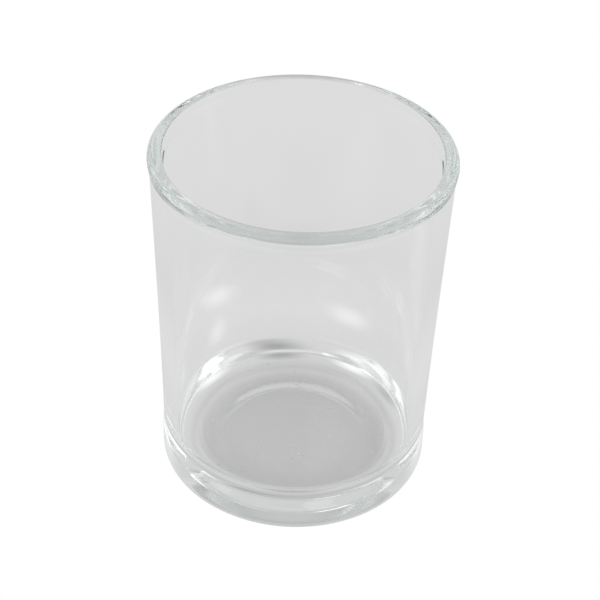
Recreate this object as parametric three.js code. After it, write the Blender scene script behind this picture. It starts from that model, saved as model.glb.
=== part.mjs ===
// Empty candle jar: one piece of clear pressed soda-lime glass, a body of revolution about Z.
// Millimetres, +Z up. The origin is the centre of the bottom, in the plane that the jar stands on.
import * as THREE from "three";

// Overall size
const HEIGHT = 68;
const RIM_DIAMETER = 55;

// Rim: a little proud of the wall outside, rounded more on its outer edge than on its inner edge
const RIM_THICKNESS = 2.6;
const RIM_OUTER_ROUND = 1.1;
const RIM_INNER_ROUND = 0.4;
const RIM_PROUD = 0.3;
const RIM_FLARE_HEIGHT = 2.4;

// Outside of the wall and of the heavy base
const WALL_FOOT_RADIUS = 25.45;
const WALL_FOOT_HEIGHT = 8.5;
const OUTER_FLARE_POWER = 1.25;
const BASE_PROUD = 0.15;
const BASE_STEP_HEIGHT = 2.5;
const HEEL_RADIUS = 2;

// The wall is as thick at the top as it is above the base
const WALL_THICKNESS = 2.6;

// The flat floor inside, and the rounded corner between it and the wall
const FLOOR_HEIGHT = 5.7;
const FLOOR_RADIUS = 18.5;
const CORNER_RISE = 5;

// Underside: a flat standing ring round a shallow hollow with a flat middle
const HOLLOW_RADIUS = 17;
const HOLLOW_FLAT_RADIUS = 12;
const HOLLOW_DEPTH = 1;

// Smoothness of the solid
const SEGMENTS = 72;
const WALL_STEPS = 9;
const FLARE_STEPS = 4;
const ARC_STEPS = 6;
const HOLLOW_STEPS = 8;

const rimRadius = RIM_DIAMETER / 2;
const mouthRadius = rimRadius - RIM_THICKNESS;
const wallTopRadius = rimRadius - RIM_PROUD;
const rimOuterCentre = new THREE.Vector2(rimRadius - RIM_OUTER_ROUND, HEIGHT - RIM_OUTER_ROUND);
const rimInnerCentre = new THREE.Vector2(mouthRadius + RIM_INNER_ROUND, HEIGHT - RIM_INNER_ROUND);
const wallTop = rimOuterCentre.y;
const cornerTop = FLOOR_HEIGHT + CORNER_RISE;

const glass = new THREE.MeshStandardMaterial({
  color: 0xdfe7e1,
  roughness: 0.03,
  metalness: 0,
  transparent: true,
  opacity: 0.35,
});

// Outside radius of the plain wall, which flares a little more towards the top
function wallRadius(height) {
  const up = THREE.MathUtils.clamp((height - WALL_FOOT_HEIGHT) / (wallTop - WALL_FOOT_HEIGHT), 0, 1);
  return WALL_FOOT_RADIUS + (wallTopRadius - WALL_FOOT_RADIUS) * up ** OUTER_FLARE_POWER;
}

// From 0 on the wall to 1 where the rim is fully formed
function nearRim(height) {
  return THREE.MathUtils.smoothstep(height, wallTop - RIM_FLARE_HEIGHT, wallTop);
}

// Outside radius at a height between the heel and the rim
function outerRadius(height) {
  const baseTop = WALL_FOOT_HEIGHT;
  const aboveBase = THREE.MathUtils.smoothstep(height, baseTop - BASE_STEP_HEIGHT, baseTop);
  return wallRadius(height) + RIM_PROUD * nearRim(height) + BASE_PROUD * (1 - aboveBase);
}

// Inside radius at a height between the corner round the floor and the rim
function innerRadius(height) {
  const lip = mouthRadius - (wallTopRadius - WALL_THICKNESS);
  return wallRadius(height) - WALL_THICKNESS + lip * nearRim(height);
}

// Points up or down a wall, from one height to another, both included
function wallPoints(radiusAt, fromHeight, toHeight, steps) {
  return Array.from({ length: steps + 1 }, (_, i) => {
    const height = THREE.MathUtils.lerp(fromHeight, toHeight, i / steps);
    return new THREE.Vector2(radiusAt(height), height);
  });
}

// Points along an arc of the outline, angles in degrees from straight outward, both ends included
function arcPoints(centre, radius, fromDegrees, toDegrees, steps) {
  return Array.from({ length: steps + 1 }, (_, i) => {
    const angle = THREE.MathUtils.degToRad(THREE.MathUtils.lerp(fromDegrees, toDegrees, i / steps));
    return new THREE.Vector2(centre.x + radius * Math.cos(angle), centre.y + radius * Math.sin(angle));
  });
}

// The corner between the inside wall and the floor: a quarter ellipse, from the wall down
function cornerPoints() {
  const width = innerRadius(cornerTop) - FLOOR_RADIUS;
  return arcPoints(new THREE.Vector2(0, 0), 1, 0, -90, ARC_STEPS).map(
    (unit) => new THREE.Vector2(FLOOR_RADIUS + width * unit.x, cornerTop + CORNER_RISE * unit.y));
}

// The hollow under the base, from its flat middle, easing down to the standing ring
function hollowPoints() {
  return Array.from({ length: HOLLOW_STEPS + 1 }, (_, i) => {
    const radius = THREE.MathUtils.lerp(HOLLOW_FLAT_RADIUS, HOLLOW_RADIUS, i / HOLLOW_STEPS);
    const down = THREE.MathUtils.smoothstep(radius, HOLLOW_FLAT_RADIUS, HOLLOW_RADIUS);
    return new THREE.Vector2(radius, HOLLOW_DEPTH * (1 - down));
  });
}

// The whole outline, from the axis under the base, round the rim, to the axis on the floor
function outline() {
  const heelCentre = new THREE.Vector2(outerRadius(HEEL_RADIUS) - HEEL_RADIUS, HEEL_RADIUS);
  const baseTop = WALL_FOOT_HEIGHT;
  const flareFoot = wallTop - RIM_FLARE_HEIGHT;
  return [
    new THREE.Vector2(0, HOLLOW_DEPTH),
    ...hollowPoints(),
    ...arcPoints(heelCentre, HEEL_RADIUS, -90, 0, ARC_STEPS),
    ...wallPoints(outerRadius, baseTop - BASE_STEP_HEIGHT, baseTop, FLARE_STEPS),
    ...wallPoints(outerRadius, baseTop, flareFoot, WALL_STEPS).slice(1),
    ...wallPoints(outerRadius, flareFoot, wallTop, FLARE_STEPS).slice(1, -1),
    ...arcPoints(rimOuterCentre, RIM_OUTER_ROUND, 0, 90, ARC_STEPS),
    ...arcPoints(rimInnerCentre, RIM_INNER_ROUND, 90, 180, FLARE_STEPS),
    ...wallPoints(innerRadius, rimInnerCentre.y, flareFoot, FLARE_STEPS).slice(1),
    ...wallPoints(innerRadius, flareFoot, cornerTop, WALL_STEPS).slice(1),
    ...cornerPoints().slice(1),
    new THREE.Vector2(0, FLOOR_HEIGHT),
  ];
}

function glassJar() {
  const shape = new THREE.LatheGeometry(outline(), SEGMENTS);
  shape.rotateX(Math.PI / 2);
  const jar = new THREE.Mesh(shape, glass);
  jar.name = "glass_jar";
  return jar;
}

const candleJar = new THREE.Group();
candleJar.add(glassJar());

export default candleJar;
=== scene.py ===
"""Empty candle jar: one piece of clear pressed glass on a white studio sweep."""

import math

import bpy
from mathutils import Matrix, Vector


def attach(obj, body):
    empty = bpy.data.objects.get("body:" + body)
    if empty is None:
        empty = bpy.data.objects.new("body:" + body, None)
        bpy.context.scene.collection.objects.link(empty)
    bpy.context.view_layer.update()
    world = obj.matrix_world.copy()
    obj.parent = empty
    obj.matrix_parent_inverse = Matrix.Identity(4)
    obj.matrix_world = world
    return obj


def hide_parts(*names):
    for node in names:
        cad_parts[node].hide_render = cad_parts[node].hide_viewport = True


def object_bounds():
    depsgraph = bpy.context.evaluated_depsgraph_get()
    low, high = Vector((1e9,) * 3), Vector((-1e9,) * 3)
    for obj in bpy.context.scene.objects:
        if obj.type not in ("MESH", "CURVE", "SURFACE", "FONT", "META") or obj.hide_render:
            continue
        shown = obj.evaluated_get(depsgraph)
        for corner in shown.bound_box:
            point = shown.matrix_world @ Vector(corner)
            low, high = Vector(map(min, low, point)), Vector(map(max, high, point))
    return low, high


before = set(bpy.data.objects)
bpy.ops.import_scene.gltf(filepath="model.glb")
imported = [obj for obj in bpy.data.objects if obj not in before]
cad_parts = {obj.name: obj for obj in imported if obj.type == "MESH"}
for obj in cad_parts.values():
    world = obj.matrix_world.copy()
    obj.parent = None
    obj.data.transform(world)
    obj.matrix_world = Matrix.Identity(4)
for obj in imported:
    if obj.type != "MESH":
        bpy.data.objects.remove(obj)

CAD_BOX = [list(corner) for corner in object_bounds()]
MM = 0.001

# The jar, from the frame and the part's own driving dimensions
HEIGHT = CAD_BOX[1][2]
RIM_RADIUS = (CAD_BOX[1][0] - CAD_BOX[0][0]) / 2
RIM_THICKNESS = 2.6 * MM
RIM_OUTER_ROUND = 1.1 * MM
RIM_INNER_ROUND = 0.4 * MM
RIM_PROUD = 0.3 * MM
RIM_FLARE_HEIGHT = 2.4 * MM
WALL_FOOT_RADIUS = 25.45 * MM
WALL_FOOT_HEIGHT = 8.5 * MM
OUTER_FLARE_POWER = 1.25
BASE_PROUD = 0.15 * MM
BASE_STEP_HEIGHT = 2.5 * MM
HEEL_RADIUS = 2.0 * MM
FLOOR_HEIGHT = 5.7 * MM
FLOOR_RADIUS = 18.5 * MM
CORNER_RISE = 5.0 * MM
WALL_THICKNESS = 2.6 * MM
GROOVE_DEPTH = 0.08 * MM
GROOVE_WIDTH = 0.9 * MM
HOLLOW_RADIUS = 17.0 * MM
HOLLOW_FLAT_RADIUS = 12.0 * MM
HOLLOW_DEPTH = 1.0 * MM

SEGMENTS = 512
HOLLOW_FLAT_RINGS = 4
FLOOR_FLAT_RINGS = 6

# The camera, in rim radii from the jar's axis and from the floor
CAMERA_BACK = 9.23
CAMERA_UP = 8.244
CAMERA_DOWN_TILT = math.radians(37.056)
CAMERA_TURN = math.radians(0.08)
CAMERA_ROLL = math.radians(-2.17)
CAMERA_LENS = 102.0

# The studio's brightness where the glass shows it; white is 1
STUDIO_BACK = 0.60
STUDIO_SIDE = 1.0
STUDIO_FRONT_GAIN = 0.18
STUDIO_LOW_GAIN = 0.04
STUDIO_HIGH_GAIN = -0.18
# Where each of these fades in, as a component of the direction: sideways, +Y and up
STUDIO_SIDE_SPAN = (0.5, 0.97)
STUDIO_FRONT_SPAN = (0.3, -0.7)
STUDIO_HIGH_SPAN = (0.65, 0.9)

# Painted shade and light on the sweep seen through the glass: (distance from the jar's axis in mm,
# brightness), dimmest in a painted shadow under the jar, with a painted ring of light and a thin painted
# shade under its foot
PAINTED_SHADE_AND_LIGHT_RINGS = (
    (0, 0.49), (10, 0.48), (13, 0.46), (16.5, 0.45), (18, 0.50), (19.3, 0.60), (20.3, 0.56),
    (21, 0.53), (23, 0.63), (28, 0.68), (46, 0.735), (70, 0.69), (100, 0.72),
)
# Painted shadows and painted pools of light on it: the jar's contact shadows, the light arcs and leaves its
# glass throws on the floor, a painted shadow in front where the camera stands, and painted light to the
# sides. (centre in mm, half sizes in mm, turn in degrees, change in brightness)
PAINTED_SHADOW_AND_LIGHT_MARKS = {
    "shade behind": ((-4.5, 27), (9, 4), 0, -0.36),
    "shade in front": ((0, -26), (26, 4), 0, -0.30),
    "light arc left": ((-19.8, 17.2), (9, 3), 49, 0.42),
    "light arc right": ((13.3, 22.6), (8, 2.6), -31, 0.42),
    "shade right": ((21.5, 13.5), (8, 2.6), -58, -0.22),
    "painted light leaf left": ((-22.4, 48), (9, 5), 40, 0.16),
    "painted light leaf left, low": ((-20.5, 35.5), (3.5, 7), -10, 0.14),
    "painted light leaf right": ((13.2, 43), (9, 4.5), -35, 0.16),
    "dim in front": ((0, -62), (50, 24), 0, -0.2),
    "dim in front, right": ((34, -24), (20, 14), -30, -0.18),
    "bright in front, left": ((-70, -42), (60, 34), 30, 0.12),
    "bright side right": ((110, 8), (60, 16), 0, 0.22),
    "bright far left": ((-260, 0), (180, 220), 0, 0.2),
    "bright far right": ((280, 0), (180, 220), 0, 0.3),
}
FLOOR_SIZE = 6.0
FLOOR_GAP = 0.05 * MM
SOFTBOX_DISTANCE = 0.8

# The glass itself
GLASS_IOR = 1.52
GLASS_TINT = (0.25, 0.62, 0.46, 1)
GLASS_TINT_DENSITY = 1.4

# Marks on the glass: dust on the floor inside, wear on the rim and base, and the waves of pressed glass.
# Each NOISE pair holds the noise levels between which a mark fades in
FLOOR_SKIN = 0.05 * MM
HAZE_PERIOD = 9.0 * MM
HAZE_NOISE = (0.3, 0.75)
HAZE_SHARE = 0.24
SPECK_SPACING = 1.9 * MM
SPECK_SHARE = 0.1
SPECK_RADII = (0.16, 0.06)
FIBRE_CURVE = 5.0 * MM
FIBRE_HALF_WIDTH = (0.012, 0.004)
FIBRE_LENGTH = 4.0 * MM
FIBRE_NOISE = (0.66, 0.7)
GRAIN_COVER = 0.9
DUST_COLOUR = (0.95, 0.96, 0.95, 1)
WEAR_PERIOD = 14.0 * MM
WEAR_NOISE = (0.3, 0.7)
WEAR_ROUGHNESS = (0.03, 0.06)
RIM_WEAR_HEIGHT = 4.0 * MM
BASE_WEAR_HEIGHT = 9.0 * MM
WAVE_PERIOD = 18.0 * MM
WAVE_HEIGHT = 0.001 * MM

RIM_OUTER_CENTRE = (RIM_RADIUS - RIM_OUTER_ROUND, HEIGHT - RIM_OUTER_ROUND)
MOUTH_RADIUS = RIM_RADIUS - RIM_THICKNESS
RIM_INNER_CENTRE = (MOUTH_RADIUS + RIM_INNER_ROUND, HEIGHT - RIM_INNER_ROUND)
WALL_TOP_RADIUS = RIM_RADIUS - RIM_PROUD
CORNER_TOP = FLOOR_HEIGHT + CORNER_RISE


def smoothstep(x, low, high):
    t = min(max((x - low) / (high - low), 0.0), 1.0)
    return t * t * (3 - 2 * t)


def wall_radius(z):
    """Outside of the plain wall, which flares a little more towards the rim."""
    up = min(max((z - WALL_FOOT_HEIGHT) / (RIM_OUTER_CENTRE[1] - WALL_FOOT_HEIGHT), 0.0), 1.0)
    return WALL_FOOT_RADIUS + (WALL_TOP_RADIUS - WALL_FOOT_RADIUS) * up ** OUTER_FLARE_POWER


def near_rim(z):
    """From 0 on the wall to 1 where the rim is fully formed."""
    return smoothstep(z, RIM_OUTER_CENTRE[1] - RIM_FLARE_HEIGHT, RIM_OUTER_CENTRE[1])


def outer_radius(z):
    above_base = smoothstep(z, WALL_FOOT_HEIGHT - BASE_STEP_HEIGHT, WALL_FOOT_HEIGHT)
    return wall_radius(z) + RIM_PROUD * near_rim(z) + BASE_PROUD * (1 - above_base)


def inner_radius(z):
    lip = MOUTH_RADIUS - (WALL_TOP_RADIUS - WALL_THICKNESS)
    return wall_radius(z) - WALL_THICKNESS + lip * near_rim(z)


def wall_points(radius_at, start, end, steps):
    heights = [start + (end - start) * i / steps for i in range(steps + 1)]
    return [(radius_at(z), z) for z in heights]


def arc_points(centre, radius, start, end, steps):
    angles = [math.radians(start + (end - start) * i / steps) for i in range(steps + 1)]
    return [(centre[0] + radius * math.cos(a), centre[1] + radius * math.sin(a)) for a in angles]


def corner_points(steps):
    """The rounded corner between the inside wall and the floor: a quarter ellipse."""
    width = inner_radius(CORNER_TOP) - FLOOR_RADIUS
    angles = [math.pi / 2 * i / steps for i in range(steps + 1)]
    return [(FLOOR_RADIUS + width * math.cos(a), CORNER_TOP - CORNER_RISE * math.sin(a)) for a in angles]


def floor_groove_points(steps):
    """A shallow groove round the edge of the flat floor inside."""
    points = []
    for i in range(steps + 1):
        share = i / steps
        depth = GROOVE_DEPTH * math.sin(math.pi * share) ** 2
        points.append((FLOOR_RADIUS - GROOVE_WIDTH * share, FLOOR_HEIGHT - depth))
    return points


def hollow_points(steps):
    """The hollow under the base: flat in the middle, easing down to the ring the jar stands on."""
    width = HOLLOW_RADIUS - HOLLOW_FLAT_RADIUS
    radii = [HOLLOW_FLAT_RADIUS * i / HOLLOW_FLAT_RINGS for i in range(HOLLOW_FLAT_RINGS)]
    radii += [HOLLOW_FLAT_RADIUS + width * i / steps for i in range(steps + 1)]
    return [(r, HOLLOW_DEPTH * (1 - smoothstep(r, HOLLOW_FLAT_RADIUS, HOLLOW_RADIUS))) for r in radii]


def outline():
    heel_centre = (outer_radius(HEEL_RADIUS) - HEEL_RADIUS, HEEL_RADIUS)
    wall_top = RIM_OUTER_CENTRE[1] - RIM_FLARE_HEIGHT
    groove = floor_groove_points(10)
    floor_radii = [groove[-1][0] * (1 - i / FLOOR_FLAT_RINGS) for i in range(1, FLOOR_FLAT_RINGS + 1)]
    return (
        hollow_points(16)
        + arc_points(heel_centre, HEEL_RADIUS, -90, 0, 12)
        + wall_points(outer_radius, HEEL_RADIUS, WALL_FOOT_HEIGHT, 10)[1:]
        + wall_points(outer_radius, WALL_FOOT_HEIGHT, wall_top, 24)[1:]
        + wall_points(outer_radius, wall_top, RIM_OUTER_CENTRE[1], 8)[1:-1]
        + arc_points(RIM_OUTER_CENTRE, RIM_OUTER_ROUND, 0, 90, 14)
        + arc_points(RIM_INNER_CENTRE, RIM_INNER_ROUND, 90, 180, 10)
        + wall_points(inner_radius, RIM_INNER_CENTRE[1], wall_top, 8)[1:]
        + wall_points(inner_radius, wall_top, CORNER_TOP, 24)[1:]
        + corner_points(20)[1:]
        + groove[1:]
        + [(r, FLOOR_HEIGHT) for r in floor_radii]
    )


def revolve(name, points):
    """A closed body of revolution: the first and last points lie on the axis."""
    rings = points[1:-1]
    turn = [2 * math.pi * k / SEGMENTS for k in range(SEGMENTS)]
    verts = [(r * math.cos(a), r * math.sin(a), z) for r, z in rings for a in turn]
    bottom, top = len(verts), len(verts) + 1
    verts += [(0, 0, points[0][1]), (0, 0, points[-1][1])]
    faces = []
    last = (len(rings) - 1) * SEGMENTS
    for k in range(SEGMENTS):
        n = (k + 1) % SEGMENTS
        faces.append((bottom, n, k))
        faces.append((top, last + k, last + n))
        for ring in range(len(rings) - 1):
            low, high = ring * SEGMENTS, (ring + 1) * SEGMENTS
            faces.append((low + k, low + n, high + n, high + k))
    mesh = bpy.data.meshes.new(name)
    mesh.from_pydata(verts, [], faces)
    mesh.validate()
    mesh.shade_smooth()
    piece = bpy.data.objects.new(name, mesh)
    bpy.context.scene.collection.objects.link(piece)
    return piece


def ramp_between(nodes, links, value, start, end, low, high):
    """A node output easing from low to high as value goes from start to end."""
    ramp = nodes.new("ShaderNodeMapRange")
    ramp.interpolation_type = "SMOOTHSTEP"
    ramp.inputs["From Min"].default_value = start
    ramp.inputs["From Max"].default_value = end
    ramp.inputs["To Min"].default_value = low
    ramp.inputs["To Max"].default_value = high
    links.new(value, ramp.inputs["Value"])
    return ramp.outputs["Result"]


def math_node(nodes, links, operation, first, second):
    node = nodes.new("ShaderNodeMath")
    node.operation = operation
    for socket, value in zip(node.inputs, (first, second)):
        if isinstance(value, (int, float)):
            socket.default_value = value
        else:
            links.new(value, socket)
    return node.outputs[0]


def noise_texture(nodes, links, place, period, detail):
    """Smooth noise from 0 to 1 whose features are about one period across."""
    noise = nodes.new("ShaderNodeTexNoise")
    noise.inputs["Scale"].default_value = 1 / period
    noise.inputs["Detail"].default_value = detail
    links.new(place, noise.inputs["Vector"])
    return noise.outputs["Fac"]


def inner_floor_mask(nodes, links, place):
    """1 on the flat floor inside the jar and 0 on the rest of the glass."""
    axes = nodes.new("ShaderNodeSeparateXYZ")
    links.new(place, axes.inputs[0])
    off_floor = math_node(nodes, links, "SUBTRACT", axes.outputs["Z"], FLOOR_HEIGHT)
    off_floor = math_node(nodes, links, "ABSOLUTE", off_floor, 0)
    return math_node(nodes, links, "LESS_THAN", off_floor, FLOOR_SKIN)


def dust_specks(nodes, links, place):
    """Small round grains, on a part of the cells only."""
    cells = nodes.new("ShaderNodeTexVoronoi")
    cells.voronoi_dimensions = "2D"
    cells.inputs["Scale"].default_value = 1 / SPECK_SPACING
    links.new(place, cells.inputs["Vector"])
    grain = ramp_between(nodes, links, cells.outputs["Distance"], *SPECK_RADII, 0.0, 1.0)
    pick = nodes.new("ShaderNodeSeparateColor")
    links.new(cells.outputs["Color"], pick.inputs[0])
    chosen = math_node(nodes, links, "GREATER_THAN", pick.outputs["Red"], 1 - SPECK_SHARE)
    return math_node(nodes, links, "MULTIPLY", grain, chosen)


def hair_lines(nodes, links, place):
    """Thin curved fibres: short pieces of the level lines of a smooth noise."""
    level = noise_texture(nodes, links, place, FIBRE_CURVE, 1)
    off_line = math_node(nodes, links, "ABSOLUTE", math_node(nodes, links, "SUBTRACT", level, 0.5), 0)
    line = ramp_between(nodes, links, off_line, *FIBRE_HALF_WIDTH, 0.0, 1.0)
    where = noise_texture(nodes, links, place, FIBRE_LENGTH, 0)
    kept = ramp_between(nodes, links, where, *FIBRE_NOISE, 0.0, 1.0)
    return math_node(nodes, links, "MULTIPLY", line, kept)


def worn_roughness(nodes, links, place):
    """The fine wear of handling: none on the wall, and some, in patches, on the rim and round the base."""
    axes = nodes.new("ShaderNodeSeparateXYZ")
    links.new(place, axes.inputs[0])
    rim = ramp_between(nodes, links, axes.outputs["Z"], HEIGHT - RIM_WEAR_HEIGHT, HEIGHT, 0.0, 1.0)
    base = ramp_between(nodes, links, axes.outputs["Z"], BASE_WEAR_HEIGHT, BASE_WEAR_HEIGHT / 2, 0.0, 1.0)
    worn = math_node(nodes, links, "MAXIMUM", rim, base)
    on_floor = inner_floor_mask(nodes, links, place)
    worn = math_node(nodes, links, "SUBTRACT", worn, on_floor)
    patches = noise_texture(nodes, links, place, WEAR_PERIOD, 3)
    roughness = ramp_between(nodes, links, patches, *WEAR_NOISE, *WEAR_ROUGHNESS)
    return math_node(nodes, links, "MULTIPLY", worn, roughness)


def glass_material():
    """Clear soda-lime glass: faintly green in its depth, a little worn and wavy, with dust on its floor."""
    material = bpy.data.materials.new("clear_glass")
    material.use_nodes = True
    nodes, links = material.node_tree.nodes, material.node_tree.links
    shader = nodes["Principled BSDF"]
    shader.inputs["IOR"].default_value = GLASS_IOR
    coordinates = nodes.new("ShaderNodeTexCoord")
    place = coordinates.outputs["Object"]

    clouds = noise_texture(nodes, links, place, HAZE_PERIOD, 3)
    haze = ramp_between(nodes, links, clouds, *HAZE_NOISE, 0.0, HAZE_SHARE)
    specks = dust_specks(nodes, links, place)
    fibres = hair_lines(nodes, links, place)
    grains = math_node(nodes, links, "MAXIMUM", specks, fibres)
    grains = math_node(nodes, links, "MULTIPLY", grains, GRAIN_COVER)
    dust = math_node(nodes, links, "MAXIMUM", haze, grains)
    dust = math_node(nodes, links, "MULTIPLY", dust, inner_floor_mask(nodes, links, place))
    side = nodes.new("ShaderNodeNewGeometry")
    from_air = math_node(nodes, links, "SUBTRACT", 1.0, side.outputs["Backfacing"])
    dust = math_node(nodes, links, "MULTIPLY", dust, from_air)
    links.new(math_node(nodes, links, "SUBTRACT", 1.0, dust), shader.inputs["Transmission Weight"])

    tint = nodes.new("ShaderNodeMix")
    tint.data_type = "RGBA"
    links.new(dust, tint.inputs["Factor"])
    tint.inputs["A"].default_value = (1, 1, 1, 1)
    tint.inputs["B"].default_value = DUST_COLOUR
    links.new(tint.outputs["Result"], shader.inputs["Base Color"])

    links.new(worn_roughness(nodes, links, place), shader.inputs["Roughness"])

    waves = nodes.new("ShaderNodeBump")
    waves.inputs["Distance"].default_value = WAVE_HEIGHT
    links.new(noise_texture(nodes, links, place, WAVE_PERIOD, 1), waves.inputs["Height"])
    links.new(waves.outputs["Normal"], shader.inputs["Normal"])

    volume = nodes.new("ShaderNodeVolumeAbsorption")
    volume.inputs["Color"].default_value = GLASS_TINT
    volume.inputs["Density"].default_value = GLASS_TINT_DENSITY
    links.new(volume.outputs[0], nodes["Material Output"].inputs["Volume"])
    return material


def make_camera():
    data = bpy.data.cameras.new("camera")
    data.lens = CAMERA_LENS
    data.sensor_width = 36.0
    data.clip_start = 0.01
    camera = bpy.data.objects.new("camera", data)
    bpy.context.scene.collection.objects.link(camera)
    ahead = math.cos(CAMERA_DOWN_TILT)
    sideways, onward = ahead * math.sin(CAMERA_TURN), ahead * math.cos(CAMERA_TURN)
    forward = Vector((sideways, onward, -math.sin(CAMERA_DOWN_TILT)))
    level = Vector((math.cos(CAMERA_TURN), -math.sin(CAMERA_TURN), 0))
    upright = level.cross(forward)
    right = level * math.cos(CAMERA_ROLL) - upright * math.sin(CAMERA_ROLL)
    up = right.cross(forward)
    turn = Matrix((right, up, -forward)).transposed().to_4x4()
    camera.matrix_world = Matrix.Translation((0, -CAMERA_BACK * RIM_RADIUS, CAMERA_UP * RIM_RADIUS)) @ turn
    bpy.context.scene.camera = camera


def white_to_camera(nodes, links, glow):
    """White where the stage is seen directly or lights the dust, else the given glow, for the glass."""
    path = nodes.new("ShaderNodeLightPath")
    mix = nodes.new("ShaderNodeMix")
    mix.data_type = "FLOAT"
    direct = math_node(nodes, links, "MAXIMUM", path.outputs["Is Camera Ray"], path.outputs["Is Diffuse Ray"])
    links.new(direct, mix.inputs["Factor"])
    links.new(glow, mix.inputs["A"])
    mix.inputs["B"].default_value = 1.0
    return mix.outputs["Result"]


def make_world():
    """A soft grey studio: brighter at the jar's left, right and front, and dimmer overhead."""
    world = bpy.data.worlds.new("studio")
    bpy.context.scene.world = world
    world.use_nodes = True
    nodes, links = world.node_tree.nodes, world.node_tree.links
    direction = nodes.new("ShaderNodeTexCoord")
    axes = nodes.new("ShaderNodeSeparateXYZ")
    links.new(direction.outputs["Generated"], axes.inputs[0])
    sideways = math_node(nodes, links, "ABSOLUTE", axes.outputs["X"], 0)
    upward = axes.outputs["Z"]
    sides = ramp_between(nodes, links, sideways, *STUDIO_SIDE_SPAN, STUDIO_BACK, STUDIO_SIDE)
    front = ramp_between(nodes, links, axes.outputs["Y"], *STUDIO_FRONT_SPAN, 0.0, STUDIO_FRONT_GAIN)
    overhead = ramp_between(nodes, links, upward, *STUDIO_HIGH_SPAN, STUDIO_LOW_GAIN, STUDIO_HIGH_GAIN)
    glow = math_node(nodes, links, "ADD", math_node(nodes, links, "ADD", sides, front), overhead)
    links.new(white_to_camera(nodes, links, glow), nodes["Background"].inputs["Color"])


def painted_floor_light_and_shade(nodes, links, place):
    """How bright the sweep looks through the glass: painted shade and light in rings round the jar's axis,
    and soft painted shadows and pools of light on them.
    """
    distance = nodes.new("ShaderNodeVectorMath")
    distance.operation = "LENGTH"
    links.new(place, distance.inputs[0])
    outwards = math_node(nodes, links, "DIVIDE", distance.outputs["Value"], PAINTED_SHADE_AND_LIGHT_RINGS[-1][0] * MM)
    rings = nodes.new("ShaderNodeValToRGB")
    rings.color_ramp.interpolation = "LINEAR"
    stops = rings.color_ramp.elements
    outermost = PAINTED_SHADE_AND_LIGHT_RINGS[-1][0]
    for radius, _ in PAINTED_SHADE_AND_LIGHT_RINGS[1:-1]:
        stops.new(radius / outermost)
    for stop, (radius, glow) in zip(stops, PAINTED_SHADE_AND_LIGHT_RINGS):
        stop.position = radius / outermost
        stop.color = (glow, glow, glow, 1)
    links.new(outwards, rings.inputs["Fac"])
    total = rings.outputs["Color"]
    for centre, size, turn, gain in PAINTED_SHADOW_AND_LIGHT_MARKS.values():
        mark = soft_painted_mark(nodes, links, place, centre, size, turn, gain)
        total = math_node(nodes, links, "ADD", total, mark)
    return total


def soft_painted_mark(nodes, links, place, centre, size, turn, gain):
    """A soft-edged oval of painted light on the floor, painted shade where its strength is negative: centre
    and half sizes in mm, turn in degrees, and its strength.
    """
    local = nodes.new("ShaderNodeMapping")
    local.vector_type = "TEXTURE"
    local.inputs["Location"].default_value = (centre[0] * MM, centre[1] * MM, 0)
    local.inputs["Rotation"].default_value = (0, 0, math.radians(turn))
    local.inputs["Scale"].default_value = (size[0] * MM, size[1] * MM, 1)
    links.new(place, local.inputs["Vector"])
    distance = nodes.new("ShaderNodeVectorMath")
    distance.operation = "LENGTH"
    links.new(local.outputs["Vector"], distance.inputs[0])
    return ramp_between(nodes, links, distance.outputs["Value"], 0.0, 1.0, gain, 0.0)


def make_floor():
    """A white sweep. Seen through the glass it is grey, with painted shade under the jar and painted shadows
    and pools of light round it.
    """
    half = FLOOR_SIZE / 2
    corners = [(-half, -half), (half, -half), (half, half), (-half, half)]
    mesh = bpy.data.meshes.new("floor")
    mesh.from_pydata([(x, y, -FLOOR_GAP) for x, y in corners], [], [(0, 1, 2, 3)])
    floor = bpy.data.objects.new("floor", mesh)
    bpy.context.scene.collection.objects.link(floor)
    material = bpy.data.materials.new("floor")
    material.use_nodes = True
    nodes, links = material.node_tree.nodes, material.node_tree.links
    nodes.remove(nodes["Principled BSDF"])
    place = nodes.new("ShaderNodeNewGeometry")
    glow = painted_floor_light_and_shade(nodes, links, place.outputs["Position"])
    light = nodes.new("ShaderNodeEmission")
    links.new(white_to_camera(nodes, links, glow), light.inputs["Color"])
    links.new(light.outputs[0], nodes["Material Output"].inputs["Surface"])
    mesh.materials.append(material)


def make_softbox(name, azimuth, elevation, size, radiance):
    """A square lamp aimed at the jar, placed by its direction: azimuth from +Y towards +X."""
    azimuth, elevation = math.radians(azimuth), math.radians(elevation)
    flat = math.cos(elevation)
    towards = Vector((flat * math.sin(azimuth), flat * math.cos(azimuth), math.sin(elevation)))
    data = bpy.data.lights.new(name, "AREA")
    data.shape = "RECTANGLE"
    data.size, data.size_y = size
    data.energy = radiance * math.pi * size[0] * size[1]
    lamp = bpy.data.objects.new(name, data)
    bpy.context.scene.collection.objects.link(lamp)
    lamp.location = towards * SOFTBOX_DISTANCE
    lamp.rotation_euler = (-towards).to_track_quat("-Z", "Y").to_euler()
    lamp.visible_camera = False


scene = bpy.context.scene
scene.view_settings.view_transform = "Standard"
scene.cycles.max_bounces = 40
scene.cycles.transmission_bounces = 40
scene.cycles.glossy_bounces = 40
scene.cycles.use_denoising = True

make_camera()
make_world()
make_floor()
make_softbox("softbox_right", 105, 30, (0.4, 0.2), 0.7)
make_softbox("softbox_left", 212, 40, (0.3, 0.4), 0.7)

jar = revolve("jar_glass", outline())
jar.data.materials.append(glass_material())
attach(jar, "root")
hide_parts("glass_jar")
